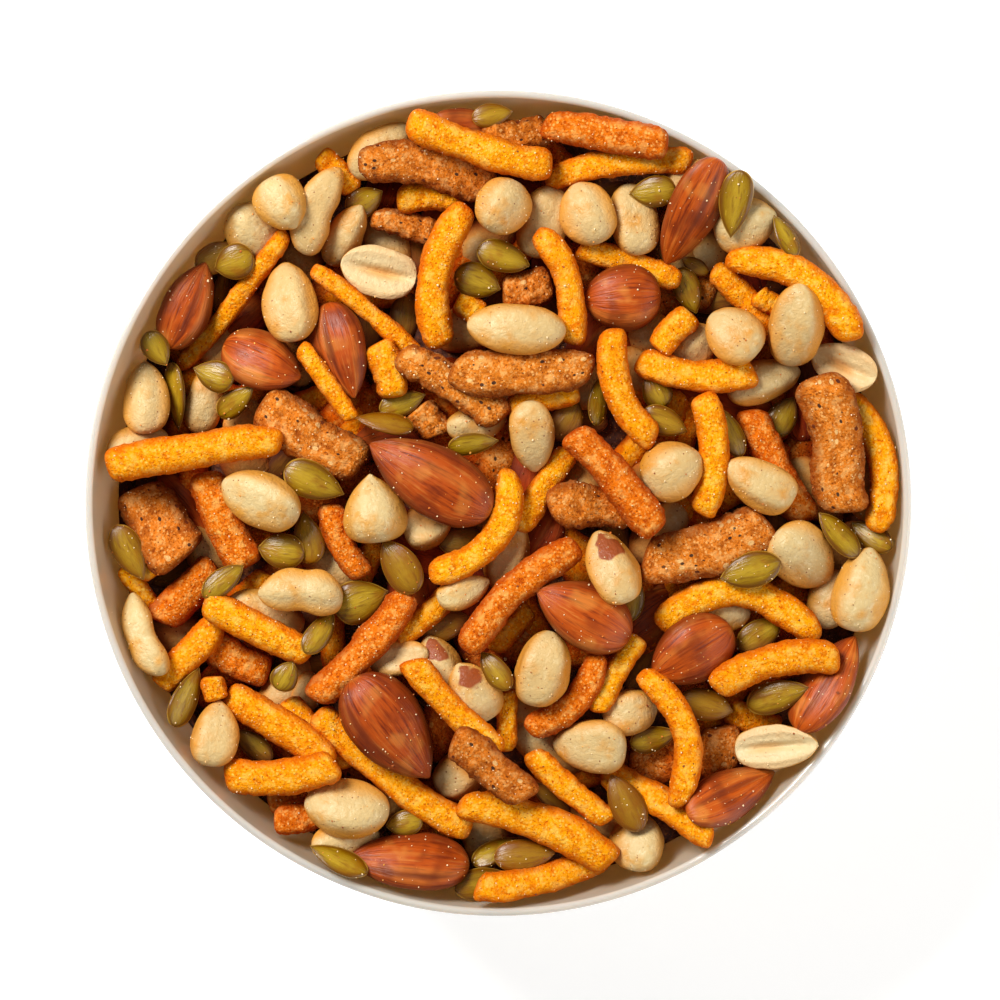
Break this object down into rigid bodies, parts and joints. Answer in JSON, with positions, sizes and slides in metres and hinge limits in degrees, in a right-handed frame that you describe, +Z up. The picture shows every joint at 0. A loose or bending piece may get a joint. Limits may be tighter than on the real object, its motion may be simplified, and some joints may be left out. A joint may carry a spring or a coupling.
{
  "type": "bowl of trail mix",
  "caption": "Round glazed bowl on a foot ring, heaped with roasted nuts, seeds and crunchy snack sticks, filled to about its rim.",
  "frame": {"origin": "centre of the foot ring, on the surface that the bowl stands on", "axes": "+Z up along the bowl's axis; +X to the right and +Y away from the viewer, as in the top view of the mix"},
  "size_m": [0.146, 0.146, 0.0652],
  "materials": {
    "bowl": "smooth white glaze with a soft shine",
    "trail_mix": "dry, granular, seasoned snack pieces with a dull surface"
  },
  "bodies": {
    "root": {"bowl": "bowl", "trail_mix": "trail_mix"}
  },
  "joints": []
}
